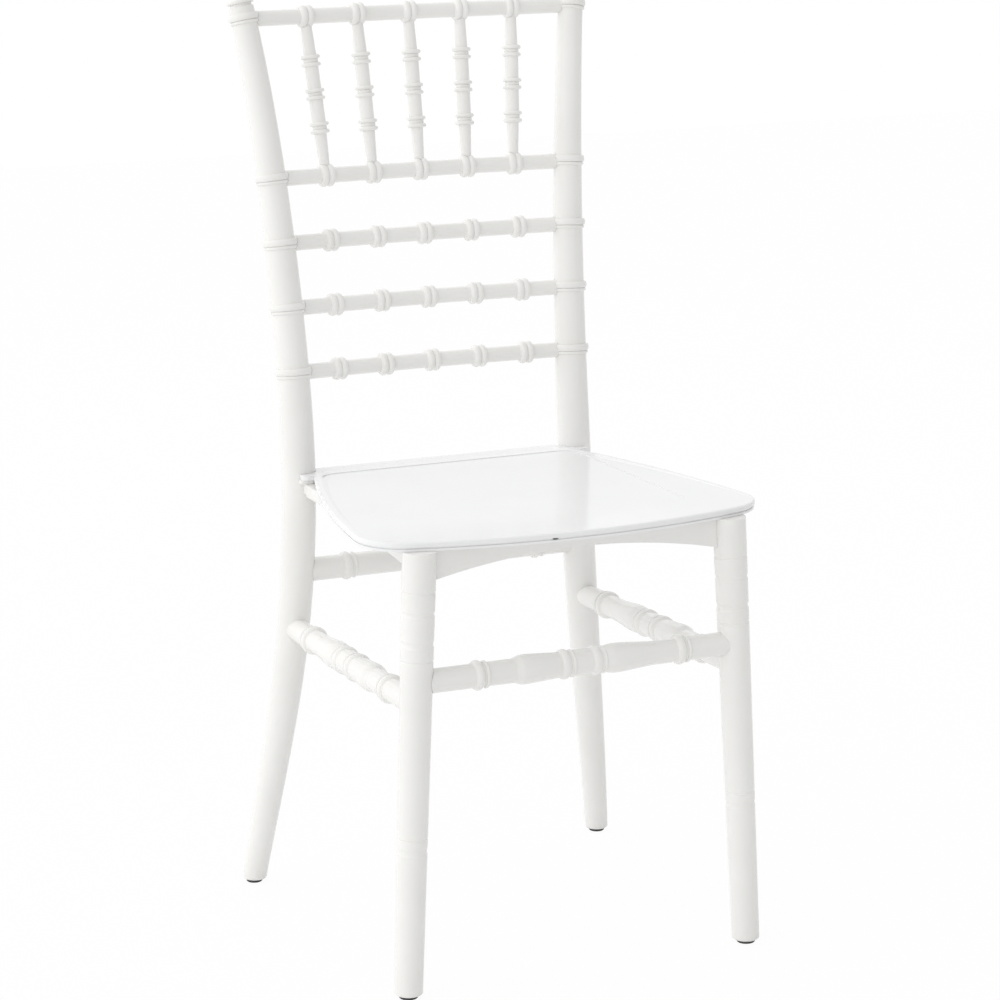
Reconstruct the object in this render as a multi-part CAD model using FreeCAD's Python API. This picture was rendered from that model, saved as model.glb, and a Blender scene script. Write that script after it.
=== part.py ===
import FreeCAD, Part
import math
import os

from FreeCAD import Vector

os.makedirs("parts", exist_ok=True)

# Stacking banquet chair of the ballroom kind, moulded in white resin and put together
# from turned members. Millimetres, +Z up, the sitter looks along -Y.
# The origin is on the floor, under the middle of the chair's outline.

# Seat
seat_height = 445.0
seat_thickness = 9.0
seat_front_y = -221.5
seat_front_bow = 35.0
seat_front_bow_half = 207.0
seat_side_front = (205.0, -118.5)
seat_side_middle = (182.5, 0.5)
seat_side_rear = (147.0, 119.5)
seat_rear_y = 148.5
seat_front_corner_radius = 50.0
seat_rear_corner_radius = 3.0
seat_lip_height = 2.5
seat_lip_inset = 0.8
seat_lip_edge = 0.7
seat_edge_radius = 2.5
seat_undercut = 2.6
seat_ear_reach = 5.0
seat_ear_length = 22.0
seat_ear_height = 5.0
seat_ear_corner = 6.0
seat_notch_gap = 0.4
dish_depth = 1.4
dish_rim = 7.0
dish_slope = 5.0
dish_front_y = -175.0
recess_depth = 0.6
recess_half = 144.0
recess_rear_y = 121.5
recess_front_y = -151.5
recess_corner_radius = 22.0

# Front legs: straight, round, leaning out a little towards the floor
leg_foot_x = 182.0
leg_foot_y = -200.5
leg_top_x = 162.5
leg_top_y = -195.0
leg_foot_radius = 13.7
leg_top_radius = 16.4
# Each ring cut into a leg is (height, width, depth), from the foot up.
leg_grooves = [
    (146.0, 6.5, 0.7),
    (158.0, 2.2, 0.5),
    (331.0, 2.4, 0.5),
    (347.5, 7.0, 0.8),
    (376.5, 5.5, 0.7),
    (397.0, 2.4, 0.5),
]
foot_edge_radius = 2.5

# Back posts: rear leg and back upright in one bent member.
# Each station is (height, distance from the middle, set-back, radius), from the foot up.
top_rail_height = 899.0
post_over = 26.0
back_rise = top_rail_height - seat_height
post_stations = [
    (-10.0, 201.1, 183.5, 12.1),
    (0.27 * seat_height, 183.6, 161.7, 14.3),
    (0.54 * seat_height, 168.1, 146.2, 16.3),
    (0.766 * seat_height, 159.2, 140.1, 17.1),
    (seat_height, 155.0, 141.8, 17.2),
    (seat_height + 0.22 * back_rise, 155.3, 150.4, 16.3),
    (seat_height + 0.507 * back_rise, 160.4, 167.2, 15.3),
    (seat_height + 0.76 * back_rise, 168.6, 183.4, 14.0),
    (top_rail_height + post_over, 184.4, 208.2, 12.6),
]
post_sections = 28
post_trim_height = top_rail_height + 12.0
finial_neck = 3.0
finial_neck_depth = 1.8
finial_bead = 4.5
finial_bead_relief = 1.3
finial_dome = 8.0

# Collar on the post at every back rail: a bead over a smaller step
collar_bead_height = 6.8
collar_step_height = 3.6
collar_drop = 5.0
collar_bead_relief = 2.9
collar_step_relief = 1.9

# Back rails, by the height of their ends
lower_rail_height = 545.0
middle_rail_height = 610.0
upper_rail_height = 675.0
spindle_rail_height = 740.0
rail_bow = 6.5
rail_radius = 7.9
rail_node_pitch = 52.2
top_rail_node_pitch = 57.0
node_bead_width = 7.2
node_bead_radius = 11.7
node_groove_radius = 9.7
node_shoulder = 0.5

# Spindles
spindle_count = 5
spindle_foot_radius = 4.7
spindle_head_radius = 5.2
spindle_middle_radius = 7.0
spindle_ring_radius = 9.8
spindle_ring_width = 3.6
spindle_ring_gap = 3.9
spindle_ring_places = [0.30, 0.51, 0.72]

# Stretchers: rings and vases that all look the same way along the turned member
front_stretcher_height = 309.3
rear_stretcher_height = 341.0
side_stretcher_front_height = 288.4
side_stretcher_rear_height = 281.0
stretcher_radius = 11.7
stretcher_waist_radius = 12.6
stretcher_bead_radius = 14.6
stretcher_bead_width = 9.0
stretcher_ridge_radius = 13.6
stretcher_ridge_width = 3.2
stretcher_ring_groove = 2.0
stretcher_vase_radius = 14.4
stretcher_vase_neck = 12.4
stretcher_vase_shoulder = 7.0
stretcher_vase_full = 13.0
stretcher_near_vase_length = 46.0
stretcher_far_vase_length = 50.0
stretcher_inner_ring_place = 16.5
stretcher_outer_ring_place = 106.5
rear_stretcher_radius = 12.2

# Aprons under the seat
apron_thickness = 12.0
front_apron_lead = 4.0
front_apron_end_depth = 32.0
front_apron_middle_depth = 12.0
side_apron_front_depth = 20.0
side_apron_middle_depth = 13.0
side_apron_rear_depth = 10.0
side_apron_rear_inset = 5.0
rear_apron_end_depth = 24.0
rear_apron_middle_depth = 16.0

# Joinery
tenon_radius = 5.6
tenon_length = 9.0
stretcher_tenon_radius = 8.0
spindle_tenon_radius = 3.6
spindle_tenon_length = 5.0
fit_gap = 0.15
bore_end_gap = 0.5

# Glides
glide_show = 3.5
front_glide_radius = 9.2
rear_glide_radius = 8.3
glide_stem_radius = 4.0
glide_stem_length = 16.0
glide_edge = 0.8

# Corner blocks and fasteners under the seat
block_height = 14.0
block_reach = 41.0
bolt_radius = 3.0
bolt_head_radius = 5.5
bolt_head_height = 3.5
bolt_length = 46.0
insert_radius = 4.5
insert_length = 12.0
screw_radius = 2.0
screw_head_radius = 4.2
screw_head_height = 2.2
screw_bite = 4.5
screw_setback = 29.0
hole_clearance = 0.3

UP = Vector(0, 0, 1)
MIDDLE = Vector(0, 0, 0)
beyond = 2 * (seat_front_bow_half + abs(seat_front_y))
seat_underside = seat_height - seat_thickness


def mirrored(shape):
    """The same shape on the other side of the chair."""
    return shape.mirror(MIDDLE, Vector(1, 0, 0))


def laid(shape, start, towards):
    """Turns a shape drawn up the Z axis so that it starts at one point and runs along a direction."""
    turn = FreeCAD.Rotation(UP, towards)
    placed = shape.copy()
    placed.Placement = FreeCAD.Placement(start, turn)
    return placed


def rod(start, end, radius):
    run = end - start
    return Part.makeCylinder(radius, run.Length, start, run)


class Turning:
    """Half outline of a turned member: radius against distance along its axis."""

    def __init__(self, at, radius):
        self.at = at
        self.radius = radius
        self.first = at
        self.edges = [Part.makeLine(Vector(0, 0, at), Vector(radius, 0, at))]

    def taper(self, length, radius=None):
        """A straight stretch, to another radius if one is given."""
        end_radius = self.radius if radius is None else radius
        start = Vector(self.radius, 0, self.at)
        end = Vector(end_radius, 0, self.at + length)
        self.edges.append(Part.makeLine(start, end))
        self.at += length
        self.radius = end_radius
        return self

    def swell(self, length, crest, radius=None):
        """A stretch that swells, or sinks, to a crest half way along."""
        end_radius = self.radius if radius is None else radius
        start = Vector(self.radius, 0, self.at)
        middle = Vector(crest, 0, self.at + length / 2)
        end = Vector(end_radius, 0, self.at + length)
        self.edges.append(Part.Arc(start, middle, end).toShape())
        self.at += length
        self.radius = end_radius
        return self

    def step(self, radius):
        """A square shoulder."""
        start = Vector(self.radius, 0, self.at)
        end = Vector(radius, 0, self.at)
        self.edges.append(Part.makeLine(start, end))
        self.radius = radius
        return self

    def dome(self, height):
        """A round cap that closes on the axis."""
        ball = (height * height + self.radius * self.radius) / (2 * height)
        centre = self.at + height - ball
        turn = math.asin(self.radius / ball) / 2
        rim = Vector(self.radius, 0, self.at)
        side = Vector(ball * math.sin(turn), 0, centre + ball * math.cos(turn))
        crown = Vector(0, 0, self.at + height)
        self.edges.append(Part.Arc(rim, side, crown).toShape())
        self.at += height
        self.radius = 0
        return self

    def solid(self):
        edges = list(self.edges)
        if self.radius > 0:
            edges.append(Part.makeLine(Vector(self.radius, 0, self.at), Vector(0, 0, self.at)))
        edges.append(Part.makeLine(Vector(0, 0, self.at), Vector(0, 0, self.first)))
        face = Part.Face(Part.Wire(edges))
        return face.revolve(MIDDLE, UP, 360)


# The back post's bent axis, and its radius drawn the same way
post_axis = Part.BSplineCurve()
post_axis.interpolate([Vector(x, y, z) for z, x, y, radius in post_stations])
post_taper = Part.BSplineCurve()
post_taper.interpolate([Vector(radius, 0, z) for z, x, y, radius in post_stations])


def at_height(curve, height):
    """Where a rising curve passes a height."""
    low, high = curve.FirstParameter, curve.LastParameter
    for halving in range(40):
        middle = (low + high) / 2
        if curve.value(middle).z < height:
            low = middle
        else:
            high = middle
    return (low + high) / 2


def post_point(height):
    """The right-hand post's centre at a height."""
    return post_axis.value(at_height(post_axis, height))


def post_direction(height):
    return Vector(*post_axis.tangent(at_height(post_axis, height))[0])


def post_radius(height):
    return post_taper.value(at_height(post_taper, height)).x


rail_heights = {
    "lower_back_rail": lower_rail_height,
    "middle_back_rail": middle_rail_height,
    "upper_back_rail": upper_rail_height,
    "spindle_rail": spindle_rail_height,
    "top_rail": top_rail_height,
}


def collar(height, growth):
    """Bead and step round the post, level with a rail."""
    radius = post_radius(height) + growth
    ring = Turning(-collar_drop, radius - 3)
    ring.step(radius + 0.5)
    ring.swell(collar_step_height, radius + collar_step_relief)
    ring.step(radius + collar_bead_relief - 1)
    ring.swell(collar_bead_height, radius + collar_bead_relief)
    return laid(ring.solid(), post_point(height), post_direction(height))


def finial(growth):
    """Groove, bead and dome above the top rail."""
    radius = post_radius(post_trim_height) + growth
    turned = Turning(0, radius - finial_neck_depth)
    turned.taper(finial_neck)
    turned.step(radius - 0.3)
    turned.swell(finial_bead, radius + finial_bead_relief)
    turned.step(radius - 1)
    turned.dome(finial_dome)
    return laid(turned.solid(), post_point(post_trim_height), post_direction(post_trim_height))


def post_hoop(height, growth):
    """Section of the post in four quarters, square to its axis."""
    centre = post_point(height)
    direction = post_direction(height)
    side = direction.cross(Vector(0, 1, 0)).normalize()
    front = side.cross(direction)
    radius = post_radius(height) + growth
    turns = [math.pi / 4 * eighth for eighth in range(9)]
    spots = [centre + (front * math.cos(turn) + side * math.sin(turn)) * radius for turn in turns]
    quarters = [Part.Arc(*spots[first : first + 3]).toShape() for first in (0, 2, 4, 6)]
    return Part.Wire(quarters)


def post_body(growth=0.0):
    """The right-hand post without its bores; growth gives the room that what meets it leaves."""
    lowest = post_stations[0][0]
    rise = (post_stations[-1][0] - lowest) / post_sections
    hoops = [post_hoop(lowest + rise * count, growth) for count in range(post_sections + 1)]
    body = Part.makeLoft(hoops, True, True)
    above = Part.makeCylinder(60, 60)
    above = laid(above, post_point(post_trim_height), post_direction(post_trim_height))
    low_corner = Vector(-beyond / 2, -beyond / 2, glide_show - beyond)
    below = Part.makeBox(beyond, beyond, beyond, low_corner)
    body = body.cut(above).cut(below)
    for height in rail_heights.values():
        body = body.fuse(collar(height, growth))
    return body.fuse(finial(growth))


post_room = post_body(fit_gap)


# Back rails: bowed towards the back
class Bow:
    """The arc that a back rail follows between the two posts."""

    def __init__(self, height):
        self.end = post_point(height)
        half = self.end.x
        self.radius = (half * half + rail_bow * rail_bow) / (2 * rail_bow)
        self.centre = Vector(0, self.end.y + rail_bow - self.radius, height)

    def point(self, x):
        angle = math.asin(x / self.radius)
        across = self.radius * math.sin(angle)
        back = self.radius * math.cos(angle)
        return self.centre + Vector(across, back, 0)

    def direction(self, x):
        angle = math.asin(x / self.radius)
        return Vector(math.cos(angle), -math.sin(angle), 0)


def node_places(pitch):
    middle = (spindle_count - 1) / 2
    return [(index - middle) * pitch for index in range(spindle_count)]


def node_beads(growth):
    """Two beads with a groove between them, as on bamboo."""
    base = rail_radius + node_shoulder + growth
    beads = Turning(-node_bead_width, rail_radius - 2)
    beads.step(base)
    beads.swell(node_bead_width, node_bead_radius + growth, node_groove_radius + growth)
    beads.swell(node_bead_width, node_bead_radius + growth, base)
    beads.step(rail_radius - 2)
    return beads.solid()


def rail_body(height, pitch, growth=0.0):
    """A rail from post axis to post axis, before it is trimmed to the posts."""
    bow = Bow(height)
    end = bow.point(-bow.end.x)
    section = Part.Face(Part.Wire(Part.makeCircle(rail_radius + growth, end, bow.direction(end.x))))
    sweep = math.degrees(2 * math.asin(bow.end.x / bow.radius))
    body = section.revolve(bow.centre, Vector(0, 0, -1), sweep)
    for x in node_places(pitch):
        body = body.fuse(laid(node_beads(growth), bow.point(x), bow.direction(x)))
    return body


def rail_tenon(height, radius, extra):
    """What enters the right-hand post from a rail's end."""
    bow = Bow(height)
    inward = bow.direction(bow.end.x) * -1
    surface = post_radius(height) + collar_bead_relief
    start = bow.end + inward * (surface + 4)
    end = bow.end + inward * (post_radius(height) - tenon_length - extra)
    return rod(start, end, radius)


def back_rail(height, pitch):
    body = rail_body(height, pitch)
    body = body.cut(post_room).cut(mirrored(post_room))
    tenon = rail_tenon(height, tenon_radius, 0)
    return body.fuse(tenon).fuse(mirrored(tenon))


rail_pitches = {name: rail_node_pitch for name in rail_heights}
rail_pitches["top_rail"] = top_rail_node_pitch

# Spindles between the spindle rail and the top rail
lower_bow = Bow(spindle_rail_height)
upper_bow = Bow(top_rail_height)


def spindle_line(index):
    """Foot and head of a spindle, on the axes of the two rails."""
    foot = lower_bow.point(node_places(rail_node_pitch)[index])
    head = upper_bow.point(node_places(top_rail_node_pitch)[index])
    return foot, head


def spindle_body(index):
    foot, head = spindle_line(index)
    length = (head - foot).Length
    pair = 2 * spindle_ring_width + spindle_ring_gap
    lowest, highest = spindle_ring_places[0], spindle_ring_places[-1]
    turned = Turning(0, spindle_foot_radius)
    for place in spindle_ring_places:
        below = spindle_middle_radius - (0.7 if place == lowest else 0.0)
        above = spindle_middle_radius - (0.5 if place == highest else 0.0)
        turned.taper(place * length - pair / 2 - turned.at, below)
        turned.swell(spindle_ring_width, spindle_ring_radius, spindle_middle_radius)
        turned.swell(spindle_ring_gap, spindle_middle_radius + 0.5)
        turned.swell(spindle_ring_width, spindle_ring_radius, above)
    turned.taper(length - turned.at, spindle_head_radius)
    return laid(turned.solid(), foot, head - foot)


def spindle_tenon(index, upper, radius, extra):
    """What enters the rail below, or the top rail."""
    foot, head = spindle_line(index)
    start, other = (head, foot) if upper else (foot, head)
    run = (other - start).normalize()
    outside = start + run * (node_bead_radius + 3)
    inside = start + run * (node_groove_radius - spindle_tenon_length - extra)
    return rod(outside, inside, radius)


# Front legs
leg_foot = Vector(leg_foot_x, leg_foot_y, 0)
leg_top = Vector(leg_top_x, leg_top_y, seat_underside)
leg_run = leg_top - leg_foot


def leg_point(height):
    """The right-hand leg's centre at a height."""
    return leg_foot + leg_run * (height / leg_top.z)


def leg_radius(height):
    return leg_foot_radius + (leg_top_radius - leg_foot_radius) * height / leg_top.z


def leg_body(growth=0.0):
    """The right-hand front leg without its bores."""
    over = 12.0
    turned = Turning(-over, leg_radius(-over) + growth)
    stretch = leg_run.Length / leg_top.z
    for height, width, depth in leg_grooves:
        rim = leg_radius(height) + growth
        turned.taper(height * stretch - width / 2 - turned.at, rim)
        turned.swell(width, rim - depth)
    turned.taper(leg_run.Length + over - turned.at, leg_radius(leg_top.z) + growth)
    body = laid(turned.solid(), leg_foot, leg_run)
    low_corner = Vector(-beyond / 2, -beyond / 2, glide_show)
    layer = Part.makeBox(beyond, beyond, seat_underside - glide_show, low_corner)
    return body.common(layer)


leg_room = leg_body(fit_gap)


def toe(member):
    """Rounds the edge round a member's foot."""
    edges = [edge for edge in member.Edges if edge.BoundBox.ZMax < glide_show + 1e-3]
    return member.makeFillet(foot_edge_radius, edges)


# Stretchers
def stretcher_ring(turned, place, before, after):
    """A round bead centred on a place, with a fine ridge behind it."""
    turned.taper(place - stretcher_bead_width / 2 - turned.at, before)
    turned.swell(stretcher_bead_width, stretcher_bead_radius, after)
    turned.taper(stretcher_ring_groove)
    turned.swell(stretcher_ridge_width, stretcher_ridge_radius)


def vase(turned, length, neck):
    """A steep shoulder, a full part and a long taper to the neck."""
    end = turned.at + length
    turned.taper(stretcher_vase_shoulder, stretcher_vase_radius - 0.3)
    turned.swell(stretcher_vase_full, stretcher_vase_radius)
    turned.taper(end - turned.at, neck)


def turned_stretcher(length, radius, vases):
    """A stretcher drawn about its own middle, with or without its waist and vases."""
    turned = Turning(-length / 2, radius)
    stretcher_ring(turned, -stretcher_outer_ring_place, radius, radius)
    if vases:
        near_ring = -stretcher_inner_ring_place
        vase_end = near_ring - stretcher_bead_width / 2 - stretcher_ring_groove
        turned.taper(vase_end - stretcher_near_vase_length - turned.at)
        vase(turned, stretcher_near_vase_length, stretcher_vase_neck)
        stretcher_ring(turned, near_ring, stretcher_vase_neck, stretcher_waist_radius)
        stretcher_ring(turned, stretcher_inner_ring_place, stretcher_waist_radius, stretcher_waist_radius)
        vase(turned, stretcher_far_vase_length, radius)
    stretcher_ring(turned, stretcher_outer_ring_place, radius, radius)
    turned.taper(length / 2 - turned.at)
    return turned.solid()


def between(shape, start, end):
    """Lays a member drawn about its own middle between two points."""
    return laid(shape, (start + end) / 2, end - start)


def end_tenon(start, towards, surface, radius, extra):
    """What enters a leg or post whose surface lies that far from its axis."""
    run = (towards - start).normalize()
    return rod(start + run * (surface + 4), start + run * (surface - tenon_length - extra), radius)


front_right = leg_point(front_stretcher_height)
front_ends = [Vector(-front_right.x, front_right.y, front_right.z), front_right]
rear_right = post_point(rear_stretcher_height)
rear_ends = [Vector(-rear_right.x, rear_right.y, rear_right.z), rear_right]
side_ends = [leg_point(side_stretcher_front_height), post_point(side_stretcher_rear_height)]


def trimmed(body, rooms):
    for room in rooms:
        body = body.cut(room)
    return body


def front_stretcher_tenon(radius, extra):
    surface = leg_radius(front_stretcher_height)
    return end_tenon(front_ends[1], front_ends[0], surface, radius, extra)


def rear_stretcher_tenon(radius, extra):
    surface = post_radius(rear_stretcher_height)
    return end_tenon(rear_ends[1], rear_ends[0], surface, radius, extra)


def side_stretcher_tenons(radius, extra):
    front_surface = leg_radius(side_stretcher_front_height)
    rear_surface = post_radius(side_stretcher_rear_height)
    return [
        end_tenon(side_ends[0], side_ends[1], front_surface, radius, extra),
        end_tenon(side_ends[1], side_ends[0], rear_surface, radius, extra),
    ]


def front_stretcher():
    length = (front_ends[1] - front_ends[0]).Length
    body = between(turned_stretcher(length, stretcher_radius, vases=True), front_ends[0], front_ends[1])
    body = trimmed(body, [leg_room, mirrored(leg_room)])
    tenon = front_stretcher_tenon(stretcher_tenon_radius, 0)
    return body.fuse(tenon).fuse(mirrored(tenon))


def rear_stretcher():
    length = (rear_ends[1] - rear_ends[0]).Length
    body = between(turned_stretcher(length, rear_stretcher_radius, vases=False), rear_ends[0], rear_ends[1])
    body = trimmed(body, [post_room, mirrored(post_room)])
    tenon = rear_stretcher_tenon(stretcher_tenon_radius, 0)
    return body.fuse(tenon).fuse(mirrored(tenon))


def side_stretcher():
    length = (side_ends[1] - side_ends[0]).Length
    body = between(turned_stretcher(length, stretcher_radius, vases=True), side_ends[0], side_ends[1])
    body = trimmed(body, [leg_room, post_room])
    return body.multiFuse(side_stretcher_tenons(stretcher_tenon_radius, 0))


# Aprons: boards on edge under the seat, arched below, their ends shaped round the legs
def apron(start, end, lead, depths, rooms):
    """A board between two members; depths are at its start, its middle and its end."""
    run = end - start
    length = run.Length
    first = Vector(0, 0, -depths[0])
    crown = Vector(length / 2, 0, -depths[1])
    last = Vector(length, 0, -depths[2])
    outline = [
        Part.makeLine(first, Vector(0, 0, 0)),
        Part.makeLine(Vector(0, 0, 0), Vector(length, 0, 0)),
        Part.makeLine(Vector(length, 0, 0), last),
        Part.Arc(last, crown, first).toShape(),
    ]
    board = Part.Face(Part.Wire(outline)).extrude(Vector(0, apron_thickness, 0))
    board.translate(Vector(0, -lead, 0))
    board.rotate(MIDDLE, UP, math.degrees(math.atan2(run.y, run.x)))
    board.translate(start)
    return trimmed(board, rooms)


apron_post_height = seat_underside - rear_apron_middle_depth / 2
apron_leg = Vector(leg_top_x, leg_top_y, seat_underside)
apron_leg_left = Vector(-leg_top_x, leg_top_y, seat_underside)
apron_post = Vector(post_point(apron_post_height).x, post_point(apron_post_height).y, seat_underside)
apron_post_left = Vector(-apron_post.x, apron_post.y, seat_underside)


def front_apron():
    depths = (front_apron_end_depth, front_apron_middle_depth, front_apron_end_depth)
    rooms = [leg_room, mirrored(leg_room)]
    return apron(apron_leg_left, apron_leg, front_apron_lead, depths, rooms)


def rear_apron():
    depths = (rear_apron_end_depth, rear_apron_middle_depth, rear_apron_end_depth)
    rooms = [post_room, mirrored(post_room)]
    return apron(apron_post_left, apron_post, apron_thickness / 2, depths, rooms)


def side_apron():
    """Its rear end has a notch that the corner bolt passes."""
    depths = (side_apron_front_depth, side_apron_middle_depth, side_apron_rear_depth)
    rear_end = apron_post - Vector(side_apron_rear_inset, 0, 0)
    rooms = [leg_room, post_room, bolt_clearance(*corners[1])]
    return apron(apron_leg, rear_end, apron_thickness / 2, depths, rooms)


# Seat
def circle_through(first, second, third):
    circle = Part.Arc(Vector(*first, 0), Vector(*second, 0), Vector(*third, 0)).toShape().Curve
    return circle.Center, circle.Radius


side_centre, side_radius = circle_through(seat_side_rear, seat_side_middle, seat_side_front)
bow_end = seat_front_y + seat_front_bow
front_centre, front_radius = circle_through(
    (-seat_front_bow_half, bow_end), (0, seat_front_y), (seat_front_bow_half, bow_end)
)


def side_x(y, inset):
    """How far out the right-hand side of the seat lies at a set-back."""
    reach = side_radius - inset
    return side_centre.x + math.sqrt(reach * reach - (y - side_centre.y) ** 2)


def front_y(x, inset):
    reach = front_radius - inset
    return front_centre.y - math.sqrt(reach * reach - x * x)


def seat_outline(inset, z):
    """The seat from above, before its corners are rounded, or the same drawn that far in."""
    corner_y = bow_end
    for step in range(40):
        corner_x = side_x(corner_y, inset)
        corner_y = front_y(corner_x, inset)
    rear_y = seat_rear_y - inset
    middle_y = (corner_y + rear_y) / 2
    corner = Vector(corner_x, corner_y, z)
    middle = Vector(side_x(middle_y, inset), middle_y, z)
    rear = Vector(side_x(rear_y, inset), rear_y, z)
    crown = Vector(0, front_y(0, inset), z)
    left_corner = Vector(-corner.x, corner.y, z)
    left_middle = Vector(-middle.x, middle.y, z)
    left_rear = Vector(-rear.x, rear.y, z)
    return Part.Wire(
        [
            Part.Arc(left_corner, crown, corner).toShape(),
            Part.Arc(corner, middle, rear).toShape(),
            Part.makeLine(rear, left_rear),
            Part.Arc(left_rear, left_middle, left_corner).toShape(),
        ]
    )


def upright_edges(shape, chosen):
    """Vertical edges whose foot passes a test."""
    found = []
    for edge in shape.Edges:
        if len(edge.Vertexes) < 2:
            continue
        start, end = edge.Vertexes[0].Point, edge.Vertexes[-1].Point
        upright = abs(start.x - end.x) < 1e-6 and abs(start.y - end.y) < 1e-6
        if upright and chosen(start):
            found.append(edge)
    return found


def rim_edges(shape, z):
    return [edge for edge in shape.Edges if abs(edge.BoundBox.ZMin - z) < 1e-4 and edge.BoundBox.ZLength < 1e-4]


def slab(inset, low, high):
    """A flat slab with the seat's outline and rounded corners."""
    shape = Part.Face(seat_outline(inset, low)).extrude(Vector(0, 0, high - low))
    shape = shape.makeFillet(seat_front_corner_radius - inset, upright_edges(shape, lambda p: p.y < 0))
    return shape.makeFillet(seat_rear_corner_radius, upright_edges(shape, lambda p: p.y > seat_rear_y - inset - 1))


def post_notch(growth):
    """Room for the right-hand post in the seat's rear corner."""
    centre = post_point(seat_height - seat_thickness / 2)
    direction = post_direction(centre.z)
    start = centre - direction * 30
    return Part.makeCylinder(post_radius(seat_height) + seat_notch_gap + growth, 60, start, direction)


def tray_top(depth):
    """Everything above a plane that sinks from the seat's front to its back."""
    rear = Vector(0, seat_rear_y, seat_height - dish_depth - depth)
    front = Vector(0, dish_front_y, seat_height - depth)
    over = 400.0
    slope = (rear - front).normalize()
    low_front = front - slope * over
    low_rear = rear + slope * over
    tall = Vector(0, 0, 50)
    side = Part.makePolygon([low_front, low_rear, low_rear + tall, low_front + tall, low_front])
    wedge = Part.Face(side).extrude(Vector(2 * over, 0, 0))
    wedge.translate(Vector(-over, 0, 0))
    return wedge


def dish():
    """The seat's top sinks a little towards the back, inside a rim with a soft slope."""
    over = 1.0
    high = seat_outline(dish_rim - dish_slope * over, seat_height + over)
    low = seat_outline(dish_rim + dish_slope * (dish_depth + over), seat_height - dish_depth - over)
    inside = Part.makeLoft([high, low], True, True)
    keep = post_notch(dish_rim)
    return inside.common(tray_top(0)).cut(keep).cut(mirrored(keep))


def recess():
    """Shallow panel sunk in the middle of the seat."""
    low = seat_height - dish_depth - recess_depth - 5
    corners = [
        Vector(-recess_half, recess_front_y, low),
        Vector(recess_half, recess_front_y, low),
        Vector(recess_half, recess_rear_y, low),
        Vector(-recess_half, recess_rear_y, low),
    ]
    panel = Part.Face(Part.makePolygon(corners + corners[:1])).extrude(Vector(0, 0, dish_depth + recess_depth + 10))
    panel = panel.makeFillet(recess_corner_radius, upright_edges(panel, lambda point: True))
    return panel.common(tray_top(recess_depth))


def seat_ear():
    """Tab of the seat that reaches round the front of the right-hand post."""
    centre = post_point(seat_height)
    outer = centre.x + seat_ear_reach
    corner = Vector(centre.x - seat_ear_length, centre.y - seat_ear_length - seat_ear_reach, 0)
    corner.z = seat_height - seat_ear_height
    ear = Part.makeBox(outer - corner.x, centre.y - corner.y, seat_ear_height, corner)
    return ear.makeFillet(seat_ear_corner, upright_edges(ear, lambda p: p.x > centre.x and p.y < centre.y - 1))


def seat_panel():
    lip_top = seat_underside + seat_lip_height
    lip = slab(seat_lip_inset, seat_underside, lip_top)
    lip = lip.makeFillet(seat_lip_edge, rim_edges(lip, lip_top) + rim_edges(lip, seat_underside))
    upper = slab(0, lip_top - 0.5, seat_height)
    upper = upper.makeFillet(seat_edge_radius, rim_edges(upper, seat_height))
    upper = upper.makeChamfer(seat_undercut, rim_edges(upper, lip_top - 0.5))
    ear = seat_ear()
    panel = lip.fuse(upper).fuse(ear).fuse(mirrored(ear)).cut(dish()).cut(recess())
    notch = post_notch(0)
    return panel.cut(notch).cut(mirrored(notch))


# Corner blocks
def block_tools(corner, inward):
    """Bolt line of a corner: from the block's long face to the member's axis."""
    direction = Vector(inward.x, inward.y, 0).normalize()
    middle = seat_underside - block_height / 2
    face = Vector(corner.x, corner.y, middle) + direction * block_reach
    return face, direction


def bolt_clearance(corner, inward):
    face, direction = block_tools(corner, inward)
    return rod(face + direction * 5, face - direction * 60, bolt_radius + hole_clearance)


def corner_block(corner, inward, rooms, screw_place):
    face, direction = block_tools(corner, inward)
    side = Vector(-direction.y, direction.x, 0)
    wide = block_reach
    low = seat_underside - block_height
    near = Vector(corner.x, corner.y, low)
    far = Vector(face.x, face.y, low)
    outline = [far + side * wide, near + side * 0.0, far - side * wide]
    block = Part.Face(Part.makePolygon(outline + outline[:1])).extrude(Vector(0, 0, block_height))
    block = trimmed(block, rooms)
    screw_hole = rod(screw_place - UP * 60, screw_place + UP * 60, screw_radius + hole_clearance)
    return block.cut(bolt_clearance(corner, inward)).cut(screw_hole)


front_inward = Vector(-1, 1, 0)
rear_inward = Vector(-1, -1, 0)
block_front_corner = Vector(leg_top_x, leg_top_y, 0)
block_rear_corner = Vector(apron_post.x, apron_post.y, 0)


def screw_place_at(corner, inward):
    direction = Vector(inward.x, inward.y, 0).normalize()
    return Vector(corner.x, corner.y, seat_underside - block_height) + direction * screw_setback + Vector(
        direction.y, -direction.x, 0
    ) * 7


def corner_bolt(corner, inward):
    face, direction = block_tools(corner, inward)
    shank = rod(face, face - direction * bolt_length, bolt_radius)
    head = rod(face + direction * bolt_head_height, face, bolt_head_radius)
    return shank.fuse(head)


def leg_insert(corner, inward):
    """Threaded sleeve in the member, round the bolt's end."""
    face, direction = block_tools(corner, inward)
    start = face - direction * (bolt_length - insert_length + 1)
    end = face - direction * (bolt_length + 1)
    sleeve = rod(start, end, insert_radius)
    return sleeve.cut(rod(start + direction, end + direction * 0.5, bolt_radius + 0.02))


def insert_bore(corner, inward):
    """Room in the member for the bolt and its sleeve."""
    face, direction = block_tools(corner, inward)
    start = face - direction * (bolt_length - insert_length + 1)
    end = face - direction * (bolt_length + 1 + fit_gap)
    bore = rod(start, end, insert_radius + 0.02)
    return bore.fuse(rod(face, end, bolt_radius + hole_clearance))


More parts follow.
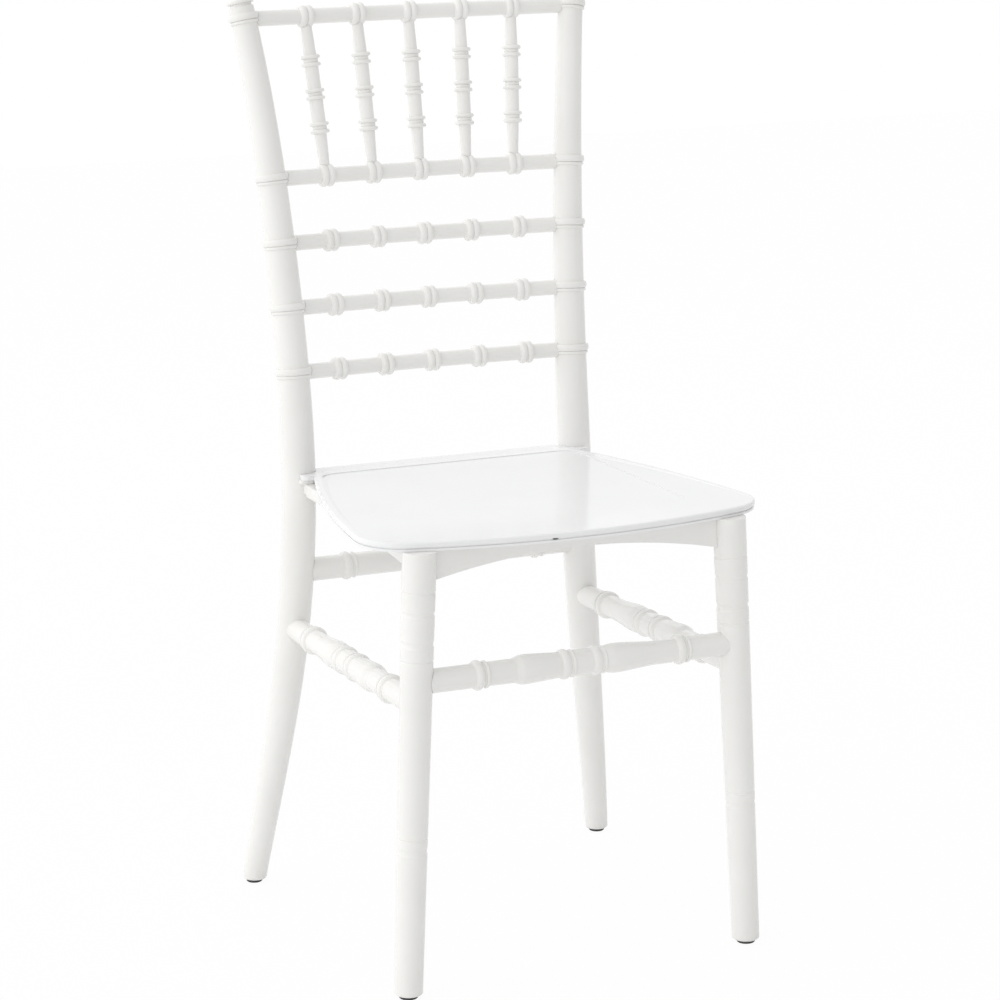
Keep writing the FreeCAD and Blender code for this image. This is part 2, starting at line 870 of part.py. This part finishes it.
def seat_screw(corner, inward):
    place = screw_place_at(corner, inward)
    tip = Vector(place.x, place.y, seat_underside + screw_bite)
    shank = rod(place, tip, screw_radius)
    head = rod(place - UP * screw_head_height, place, screw_head_radius)
    return shank.fuse(head)


def screw_bore(corner, inward):
    place = screw_place_at(corner, inward)
    tip = Vector(place.x, place.y, seat_underside + screw_bite + 0.3)
    return rod(place, tip, screw_radius + 0.02)


corners = [(block_front_corner, front_inward), (block_rear_corner, rear_inward)]


# Glides
def glide(foot, radius):
    """Round pad with a stem that presses into the foot."""
    pad = Turning(0, radius - glide_edge)
    pad.taper(glide_edge, radius)
    pad.taper(glide_show - glide_edge)
    pad.step(glide_stem_radius)
    pad.taper(glide_stem_length)
    return laid(pad.solid(), foot, UP)


def glide_bore(foot):
    low = Vector(foot.x, foot.y, 0)
    return rod(low, low + UP * (glide_show + glide_stem_length + bore_end_gap), glide_stem_radius + fit_gap)


rear_foot = post_point(glide_show)
rear_foot = Vector(rear_foot.x, rear_foot.y, 0)


def back_post():
    post = toe(post_body())
    bores = [rail_tenon(height, tenon_radius + fit_gap, bore_end_gap) for height in rail_heights.values()]
    bores.append(rear_stretcher_tenon(stretcher_tenon_radius + fit_gap, bore_end_gap))
    bores.append(side_stretcher_tenons(stretcher_tenon_radius + fit_gap, bore_end_gap)[1])
    bores.append(insert_bore(*corners[1]))
    bores.append(glide_bore(rear_foot))
    return trimmed(post, bores)


def front_leg():
    leg = toe(leg_body())
    bores = [
        front_stretcher_tenon(stretcher_tenon_radius + fit_gap, bore_end_gap),
        side_stretcher_tenons(stretcher_tenon_radius + fit_gap, bore_end_gap)[0],
        insert_bore(*corners[0]),
        glide_bore(leg_foot),
    ]
    return trimmed(leg, bores)


def export(name, shape):
    bodies = shape.Solids
    whole = bodies[0] if len(bodies) == 1 else Part.makeCompound(bodies)
    whole.exportStep("parts/" + name + ".step")
    valid = whole.isValid()
    print(name, len(bodies), "solid", round(whole.Volume), "mm3", "" if valid else "NOT VALID")


def export_pair(name, shape):
    """Right-hand piece and its mirror image."""
    export("right_" + name, shape)
    export("left_" + name, mirrored(shape))


export_pair("back_post", back_post())
export_pair("front_leg", front_leg())

rails = {name: back_rail(height, rail_pitches[name]) for name, height in rail_heights.items()}
for index in range(spindle_count):
    for name, upper in (("spindle_rail", False), ("top_rail", True)):
        bore = spindle_tenon(index, upper, spindle_tenon_radius + fit_gap, bore_end_gap)
        rails[name] = rails[name].cut(bore)
for name, rail in rails.items():
    export(name, rail)

rail_rooms = [
    rail_body(spindle_rail_height, rail_node_pitch, fit_gap),
    rail_body(top_rail_height, top_rail_node_pitch, fit_gap),
]
for index in range(spindle_count):
    spindle = trimmed(spindle_body(index), rail_rooms)
    tenons = [spindle_tenon(index, upper, spindle_tenon_radius, 0) for upper in (False, True)]
    export("spindle_" + str(index + 1), spindle.multiFuse(tenons))

export("front_stretcher", front_stretcher())
export("rear_stretcher", rear_stretcher())
export_pair("side_stretcher", side_stretcher())

front_board = front_apron()
rear_board = rear_apron()
side_board = side_apron()
export("front_apron", front_board)
export("rear_apron", rear_board)
export_pair("side_apron", side_board)

screw_bores = [screw_bore(*corner) for corner in corners]
seat = seat_panel()
for bore in screw_bores:
    seat = seat.cut(bore).cut(mirrored(bore))
export("seat_panel", seat)

front_block = corner_block(*corners[0], [leg_room, front_board, side_board], screw_place_at(*corners[0]))
rear_block = corner_block(*corners[1], [post_room, rear_board, side_board], screw_place_at(*corners[1]))
export_pair("front_corner_block", front_block)
export_pair("rear_corner_block", rear_block)

bolts = [corner_bolt(*corner) for corner in corners]
inserts = [leg_insert(*corner) for corner in corners]
screws = [seat_screw(*corner) for corner in corners]
export("corner_bolts", Part.makeCompound(bolts + [mirrored(bolt) for bolt in bolts]))
export("leg_inserts", Part.makeCompound(inserts + [mirrored(insert) for insert in inserts]))
export("seat_screws", Part.makeCompound(screws + [mirrored(screw) for screw in screws]))

export_pair("front_glide", glide(leg_foot, front_glide_radius))
export_pair("rear_glide", glide(rear_foot, rear_glide_radius))
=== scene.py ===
import bmesh
import bpy
import math
from mathutils import Matrix, Vector


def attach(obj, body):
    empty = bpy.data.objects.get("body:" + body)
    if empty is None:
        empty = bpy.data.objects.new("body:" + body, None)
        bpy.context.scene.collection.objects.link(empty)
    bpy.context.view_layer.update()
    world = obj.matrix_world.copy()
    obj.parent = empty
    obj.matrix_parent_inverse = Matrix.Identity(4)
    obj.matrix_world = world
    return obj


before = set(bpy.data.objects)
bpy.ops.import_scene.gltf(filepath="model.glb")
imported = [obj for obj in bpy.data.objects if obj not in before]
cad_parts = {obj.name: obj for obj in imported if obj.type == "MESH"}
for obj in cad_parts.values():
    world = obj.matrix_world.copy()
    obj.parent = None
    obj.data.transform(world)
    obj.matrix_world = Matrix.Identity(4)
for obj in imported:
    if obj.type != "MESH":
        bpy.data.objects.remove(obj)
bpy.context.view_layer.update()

# A white moulded banquet chair: round posts and legs, ringed rails, spindles and stretchers.
# Metres, +Z up, the sitter looks along -Y.

# Plastic surface
cloud_scale = 12.0
cloud_detail = 3.0
cloud_span = (0.35, 0.7)
smear_scale = 45.0
smear_detail = 4.0
smear_roughness = 0.6
usual_ripple_scale = 60.0
ripple_strength = 0.35
plastic_ior = 1.49

# Metal surface
speck_scale = 600.0
speck_detail = 6.0
speck_roughness = 0.7
speck_span = (0.5, 0.75)
speck_amount = 0.6
worn_extra_roughness = 0.2

# Pads under the rear ears of the seat
pad_width = 0.016
pad_depth = 0.008
pad_corner = 0.0032
pad_corner_steps = 6
pad_centre = Vector((0.1545, 0.1201, 0.436))
# Height above the apron, and how far the side draws in there.
pad_levels = [(0.0, 0.0006), (0.0005, 0.0001), (0.002, 0.0), (0.0035, 0.0001), (0.004, 0.0006)]

# Stub of the mould's gate on the seat's front lip
scar_place = Vector((-0.0344, -0.2196, 0.4396))
scar_outward = Vector((-0.04, -0.71, -0.71)).normalized()
scar_half_width = 0.0030
scar_half_height = 0.0012
scar_points = 28
# Waves of the torn edge: how many there are, how deep as a share of its size, and where they start.
scar_waves = [(3, 0.12, 0.5), (7, 0.07, 0.0)]
# Share of the full outline, and height above the lip.
scar_levels = [(1.0, -0.0002), (0.95, 0.0002), (0.75, 0.0004), (0.45, 0.0001), (0.1, 0.0)]

# Studio
floor_half = 6.0
paper_tone = 0.9
floor_whiteness = 0.95
room_light = 1.05
white_background = 1.0
# Where each soft glow comes from and its strength; a strength below nothing dims that side of the room.
room_glows = [
    ((-1.0, 0.0, 0.2), 0.50),
    ((-0.6, -0.8, 0.1), -0.18),
    ((0.5, -0.9, 0.1), -0.50),
    ((1.0, 0.0, 0.2), -0.25),
    ((0.0, 0.0, 1.0), -0.06),
]
glow_falloff = 2.0
softbox_size = 2.2
softbox_distance = 3.0
softbox_aim = Vector((0.0, 0.0, 0.5))

# Camera at the photograph's viewpoint
camera_azimuth = math.radians(-23.891)
camera_elevation = math.radians(12.863)
camera_roll = math.radians(0.441)
camera_distance = 3.4254
camera_lens = 123.66
camera_sensor_width = 36.0
aim_point = Vector((0.0, -0.0085, 0.455625))
aim_right = 0.00233
aim_up = -0.02495


# Node helpers
def link(tree, source, target):
    tree.links.new(source, target)


def add(tree, kind, **settings):
    node = tree.nodes.new(kind)
    for name, value in settings.items():
        setattr(node, name, value)
    return node


def new_group(name, inputs, outputs):
    """A shader group with its sockets; inputs are (name, kind, value)."""
    group = bpy.data.node_groups.new(name, "ShaderNodeTree")
    for socket_name, kind, value in inputs:
        socket = group.interface.new_socket(name=socket_name, in_out="INPUT", socket_type=kind)
        socket.default_value = value
    for socket_name, kind in outputs:
        group.interface.new_socket(name=socket_name, in_out="OUTPUT", socket_type=kind)
    return group, add(group, "NodeGroupInput"), add(group, "NodeGroupOutput")


def object_noise(tree, place, scale, detail=2.0, rough=0.5):
    """Noise fixed to the object; its output is a value from nothing to one."""
    node = add(tree, "ShaderNodeTexNoise")
    link(tree, place.outputs["Object"], node.inputs["Vector"])
    node.inputs["Scale"].default_value = scale
    node.inputs["Detail"].default_value = detail
    node.inputs["Roughness"].default_value = rough
    return node


def ranged(tree, source, low, high, span=(0.0, 1.0)):
    """Maps a span of a value onto the range from low to high."""
    node = add(tree, "ShaderNodeMapRange")
    link(tree, source, node.inputs["Value"])
    node.inputs["From Min"].default_value = span[0]
    node.inputs["From Max"].default_value = span[1]
    node.inputs["To Min"].default_value = low
    node.inputs["To Max"].default_value = high
    return node.outputs["Result"]


def calculated(tree, operation, first, second):
    """One number from two; the second is a socket or a plain number."""
    node = add(tree, "ShaderNodeMath", operation=operation)
    link(tree, first, node.inputs[0])
    if isinstance(second, float):
        node.inputs[1].default_value = second
    else:
        link(tree, second, node.inputs[1])
    return node.outputs["Value"]


# Shared surface effects
def moulded_skin_group():
    """Moulded plastic: faint cloudy tone, a gloss that varies, and a soft ripple."""
    group, given, result = new_group(
        "moulded skin",
        [
            ("Tone", "NodeSocketColor", (0.8, 0.8, 0.8, 1.0)),
            ("Cloud Tone", "NodeSocketColor", (0.7, 0.7, 0.7, 1.0)),
            ("Least Roughness", "NodeSocketFloat", 0.2),
            ("Most Roughness", "NodeSocketFloat", 0.3),
            ("Ripple Scale", "NodeSocketFloat", usual_ripple_scale),
        ],
        [("Tone", "NodeSocketColor"), ("Roughness", "NodeSocketFloat"), ("Ripple", "NodeSocketFloat")],
    )
    place = add(group, "ShaderNodeTexCoord")
    clouds = object_noise(group, place, cloud_scale, cloud_detail)
    tone = add(group, "ShaderNodeMix", data_type="RGBA")
    link(group, ranged(group, clouds.outputs["Fac"], 0.0, 1.0, cloud_span), tone.inputs["Factor"])
    link(group, given.outputs["Tone"], tone.inputs["A"])
    link(group, given.outputs["Cloud Tone"], tone.inputs["B"])
    link(group, tone.outputs["Result"], result.inputs["Tone"])
    smears = object_noise(group, place, smear_scale, smear_detail, smear_roughness)
    gloss = add(group, "ShaderNodeMapRange")
    link(group, smears.outputs["Fac"], gloss.inputs["Value"])
    link(group, given.outputs["Least Roughness"], gloss.inputs["To Min"])
    link(group, given.outputs["Most Roughness"], gloss.inputs["To Max"])
    link(group, gloss.outputs["Result"], result.inputs["Roughness"])
    ripple = object_noise(group, place, usual_ripple_scale)
    link(group, given.outputs["Ripple Scale"], ripple.inputs["Scale"])
    link(group, ripple.outputs["Fac"], result.inputs["Ripple"])
    return group


def scuff_group():
    """Fine specks and rubbed patches, as a mask."""
    group, given, result = new_group(
        "scuffs",
        [("Amount", "NodeSocketFloat", speck_amount)],
        [("Mask", "NodeSocketFloat")],
    )
    place = add(group, "ShaderNodeTexCoord")
    specks = object_noise(group, place, speck_scale, speck_detail, speck_roughness)
    cut = ranged(group, specks.outputs["Fac"], 0.0, 1.0, speck_span)
    link(group, calculated(group, "MULTIPLY", cut, given.outputs["Amount"]), result.inputs["Mask"])
    return group


moulded_skin = moulded_skin_group()
scuffs = scuff_group()


# Materials
def shaded(name):
    material = bpy.data.materials.new(name)
    material.use_nodes = True
    tree = material.node_tree
    tree.nodes.clear()
    shader = add(tree, "ShaderNodeBsdfPrincipled")
    output = add(tree, "ShaderNodeOutputMaterial")
    link(tree, shader.outputs["BSDF"], output.inputs["Surface"])
    return material, tree, shader


def plastic(name, tone, cloud_tone, roughness, ripple_scale, ripple_height):
    """Moulded plastic; roughness is its least and its most."""
    material, tree, shader = shaded(name)
    skin = add(tree, "ShaderNodeGroup", node_tree=moulded_skin)
    skin.inputs["Tone"].default_value = (*tone, 1.0)
    skin.inputs["Cloud Tone"].default_value = (*cloud_tone, 1.0)
    skin.inputs["Least Roughness"].default_value = roughness[0]
    skin.inputs["Most Roughness"].default_value = roughness[1]
    skin.inputs["Ripple Scale"].default_value = ripple_scale
    link(tree, skin.outputs["Tone"], shader.inputs["Base Color"])
    link(tree, skin.outputs["Roughness"], shader.inputs["Roughness"])
    bump = add(tree, "ShaderNodeBump")
    bump.inputs["Strength"].default_value = ripple_strength
    bump.inputs["Distance"].default_value = ripple_height
    link(tree, skin.outputs["Ripple"], bump.inputs["Height"])
    link(tree, bump.outputs["Normal"], shader.inputs["Normal"])
    shader.inputs["IOR"].default_value = plastic_ior
    return material


def metal(name, tone, worn_tone, roughness):
    """Metal with a rubbed tone in fine specks, which are rougher too."""
    material, tree, shader = shaded(name)
    mask = add(tree, "ShaderNodeGroup", node_tree=scuffs).outputs["Mask"]
    blend = add(tree, "ShaderNodeMix", data_type="RGBA")
    link(tree, mask, blend.inputs["Factor"])
    blend.inputs["A"].default_value = (*tone, 1.0)
    blend.inputs["B"].default_value = (*worn_tone, 1.0)
    link(tree, blend.outputs["Result"], shader.inputs["Base Color"])
    rubbed = ranged(tree, mask, roughness, roughness + worn_extra_roughness)
    link(tree, rubbed, shader.inputs["Roughness"])
    shader.inputs["Metallic"].default_value = 1.0
    return material


white_resin = plastic(
    "white moulded resin",
    tone=(0.90, 0.893, 0.874),
    cloud_tone=(0.87, 0.862, 0.84),
    roughness=(0.18, 0.28),
    ripple_scale=70.0,
    ripple_height=0.0004,
)
seat_resin = plastic(
    "seat resin",
    tone=(0.90, 0.902, 0.906),
    cloud_tone=(0.88, 0.882, 0.888),
    roughness=(0.10, 0.16),
    ripple_scale=160.0,
    ripple_height=0.00012,
)
glide_black = plastic(
    "black glide",
    tone=(0.022, 0.022, 0.023),
    cloud_tone=(0.05, 0.05, 0.05),
    roughness=(0.45, 0.65),
    ripple_scale=500.0,
    ripple_height=0.0002,
)
# Dark tone for the gate stub: painted shade of a shallow shadowed pit, not the resin's own colour.
pit_shade_resin = plastic(
    "gate pit painted shade",
    tone=(0.16, 0.155, 0.15),
    cloud_tone=(0.08, 0.08, 0.08),
    roughness=(0.5, 0.7),
    ripple_scale=900.0,
    ripple_height=0.0002,
)
zinc_steel = metal("zinc plated steel", tone=(0.62, 0.62, 0.63), worn_tone=(0.45, 0.44, 0.43), roughness=0.28)
insert_brass = metal("turned brass", tone=(0.72, 0.55, 0.28), worn_tone=(0.5, 0.36, 0.18), roughness=0.3)


def finish_node(name, material):
    """Gives a frame piece its finish on every slot."""
    piece = bpy.data.objects[name]
    if not piece.data.materials:
        piece.data.materials.append(material)
    for index in range(len(piece.data.materials)):
        piece.data.materials[index] = material


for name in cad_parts:
    if "glide" in name:
        finish_node(name, glide_black)
    elif name in ("corner_bolts", "seat_screws"):
        finish_node(name, zinc_steel)
    elif name == "leg_inserts":
        finish_node(name, insert_brass)
    elif name == "seat_panel":
        finish_node(name, seat_resin)
    else:
        finish_node(name, white_resin)


# Small moulded details
def stacked_rings(name, rings, place, material):
    """A closed shell through rings of equal count, set at a place, that belongs to the resin."""
    mesh = bpy.data.meshes.new(name)
    shell = bmesh.new()
    rows = [[shell.verts.new(point) for point in ring] for ring in rings]
    count = len(rows[0])
    for lower, upper in zip(rows, rows[1:]):
        for index in range(count):
            after = (index + 1) % count
            shell.faces.new((lower[index], lower[after], upper[after], upper[index]))
    shell.faces.new(list(reversed(rows[0])))
    shell.faces.new(rows[-1])
    bmesh.ops.recalc_face_normals(shell, faces=shell.faces[:])
    for face in shell.faces:
        face.smooth = True
    shell.to_mesh(mesh)
    shell.free()
    mesh.materials.append(material)
    piece = bpy.data.objects.new(name, mesh)
    bpy.context.scene.collection.objects.link(piece)
    piece.matrix_world = place
    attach(piece, "root")


def rounded_ring(width, depth, corner, height):
    """Points round a rounded rectangle at one height."""
    ring = []
    for quarter, (side, front) in enumerate([(1, 1), (-1, 1), (-1, -1), (1, -1)]):
        for step in range(pad_corner_steps + 1):
            turn = math.radians(90.0 * (quarter + step / pad_corner_steps))
            x = side * (width / 2 - corner) + corner * math.cos(turn)
            y = front * (depth / 2 - corner) + corner * math.sin(turn)
            ring.append((x, y, height))
    return ring


def ear_pad(name, side):
    """A moulded pad that fills the step between the seat's ear and the side apron."""
    rings = [
        rounded_ring(pad_width - 2 * inset, pad_depth - 2 * inset, pad_corner - inset, height)
        for height, inset in pad_levels
    ]
    place = Matrix.Translation((side * pad_centre.x, pad_centre.y, pad_centre.z))
    stacked_rings(name, rings, place, white_resin)


def ragged_ring(share, height):
    """The torn outline of the gate stub at a share of its size."""
    ring = []
    for step in range(scar_points):
        turn = 2 * math.pi * step / scar_points
        reach = share * (1 + sum(depth * math.sin(count * turn + start) for count, depth, start in scar_waves))
        x = scar_half_width * reach * math.cos(turn)
        y = scar_half_height * reach * math.sin(turn)
        ring.append((x, y, height))
    return ring


def gate_scar():
    """The torn stub that the mould's gate leaves under the seat's front lip; its dark colour is painted shade
    standing in for a shallow shadowed pit.
    """
    rings = [ragged_ring(share, height) for share, height in scar_levels]
    along = scar_outward.cross(Vector((1.0, 0.0, 0.0))).normalized()
    across = along.cross(scar_outward)
    turn = Matrix((across, along, scar_outward)).transposed().to_4x4()
    stacked_rings("gate_scar", rings, Matrix.Translation(scar_place) @ turn, pit_shade_resin)


ear_pad("right_ear_pad", 1)
ear_pad("left_ear_pad", -1)
gate_scar()


# Studio
def white_rays(tree):
    """One where the ray comes from the camera, from a glossy surface or through glass."""
    rays = add(tree, "ShaderNodeLightPath")
    seen = rays.outputs["Is Camera Ray"]
    for kind in ("Is Glossy Ray", "Is Transmission Ray"):
        seen = calculated(tree, "MAXIMUM", seen, rays.outputs[kind])
    return seen


def studio_floor():
    """White paper that shows as the background and still takes a faint shadow."""
    mesh = bpy.data.meshes.new("studio_floor")
    corners = [(-1, -1), (1, -1), (1, 1), (-1, 1)]
    mesh.from_pydata([(x * floor_half, y * floor_half, 0.0) for x, y in corners], [], [(0, 1, 2, 3)])
    floor = bpy.data.objects.new("studio_floor", mesh)
    bpy.context.scene.collection.objects.link(floor)
    material = bpy.data.materials.new("white paper floor")
    material.use_nodes = True
    tree = material.node_tree
    tree.nodes.clear()
    paper = add(tree, "ShaderNodeBsdfDiffuse")
    paper.inputs["Color"].default_value = (paper_tone, paper_tone, paper_tone, 1.0)
    glow = add(tree, "ShaderNodeEmission")
    glow.inputs["Color"].default_value = (1.0, 1.0, 1.0, 1.0)
    mix = add(tree, "ShaderNodeMixShader")
    link(tree, calculated(tree, "MULTIPLY", white_rays(tree), floor_whiteness), mix.inputs["Fac"])
    link(tree, paper.outputs["BSDF"], mix.inputs[1])
    link(tree, glow.outputs["Emission"], mix.inputs[2])
    output = add(tree, "ShaderNodeOutputMaterial")
    link(tree, mix.outputs["Shader"], output.inputs["Surface"])
    mesh.materials.append(material)


def studio_world():
    """A pale room: an even light and soft glows, behind which the background shows plain white."""
    world = bpy.data.worlds.new("studio")
    bpy.context.scene.world = world
    world.use_nodes = True
    tree = world.node_tree
    tree.nodes.clear()
    place = add(tree, "ShaderNodeTexCoord")
    room = add(tree, "ShaderNodeValue")
    room.outputs["Value"].default_value = room_light
    total = room.outputs["Value"]
    for direction, strength in room_glows:
        facing = add(tree, "ShaderNodeVectorMath", operation="DOT_PRODUCT")
        link(tree, place.outputs["Generated"], facing.inputs[0])
        facing.inputs[1].default_value = Vector(direction).normalized()
        kept = calculated(tree, "MAXIMUM", facing.outputs["Value"], 0.0)
        soft = calculated(tree, "POWER", kept, glow_falloff)
        total = calculated(tree, "ADD", calculated(tree, "MULTIPLY", soft, strength), total)
    shown = add(tree, "ShaderNodeMix", data_type="FLOAT")
    link(tree, white_rays(tree), shown.inputs["Factor"])
    link(tree, total, shown.inputs["A"])
    shown.inputs["B"].default_value = white_background
    back = add(tree, "ShaderNodeBackground")
    back.inputs["Color"].default_value = (1.0, 1.0, 1.0, 1.0)
    link(tree, shown.outputs["Result"], back.inputs["Strength"])
    output = add(tree, "ShaderNodeOutputWorld")
    link(tree, back.outputs["Background"], output.inputs["Surface"])


def softbox(name, azimuth, elevation, watts):
    """A square area light that faces the seat; degrees from the front, and up."""
    lamp = bpy.data.lights.new(name, "AREA")
    lamp.size = softbox_size
    lamp.energy = watts
    holder = bpy.data.objects.new(name, lamp)
    bpy.context.scene.collection.objects.link(holder)
    turn, rise = math.radians(azimuth), math.radians(elevation)
    away = Vector((math.sin(turn) * math.cos(rise), -math.cos(turn) * math.cos(rise), math.sin(rise)))
    holder.location = softbox_aim + away * softbox_distance
    holder.rotation_euler = away.to_track_quat("Z", "Y").to_euler()


studio_floor()
studio_world()
softbox("back_softbox", azimuth=170.0, elevation=35.0, watts=5.0)
softbox("left_softbox", azimuth=-70.0, elevation=30.0, watts=3.0)


# Camera
def photo_camera():
    right = Vector((math.cos(camera_azimuth), math.sin(camera_azimuth), 0.0))
    back = Vector(
        (
            math.sin(camera_azimuth) * math.cos(camera_elevation),
            -math.cos(camera_azimuth) * math.cos(camera_elevation),
            math.sin(camera_elevation),
        )
    )
    up = back.cross(right)
    across = right * math.cos(camera_roll) - up * math.sin(camera_roll)
    upward = right * math.sin(camera_roll) + up * math.cos(camera_roll)
    centre = aim_point + right * aim_right + up * aim_up
    place = centre + back * camera_distance
    turn = Matrix((across, upward, back)).transposed().to_4x4()
    lens = bpy.data.cameras.new("photo_camera")
    lens.lens = camera_lens
    lens.sensor_width = camera_sensor_width
    holder = bpy.data.objects.new("photo_camera", lens)
    bpy.context.scene.collection.objects.link(holder)
    holder.matrix_world = Matrix.Translation(place) @ turn
    bpy.context.scene.camera = holder


photo_camera()
bpy.context.scene.view_settings.view_transform = "Standard"
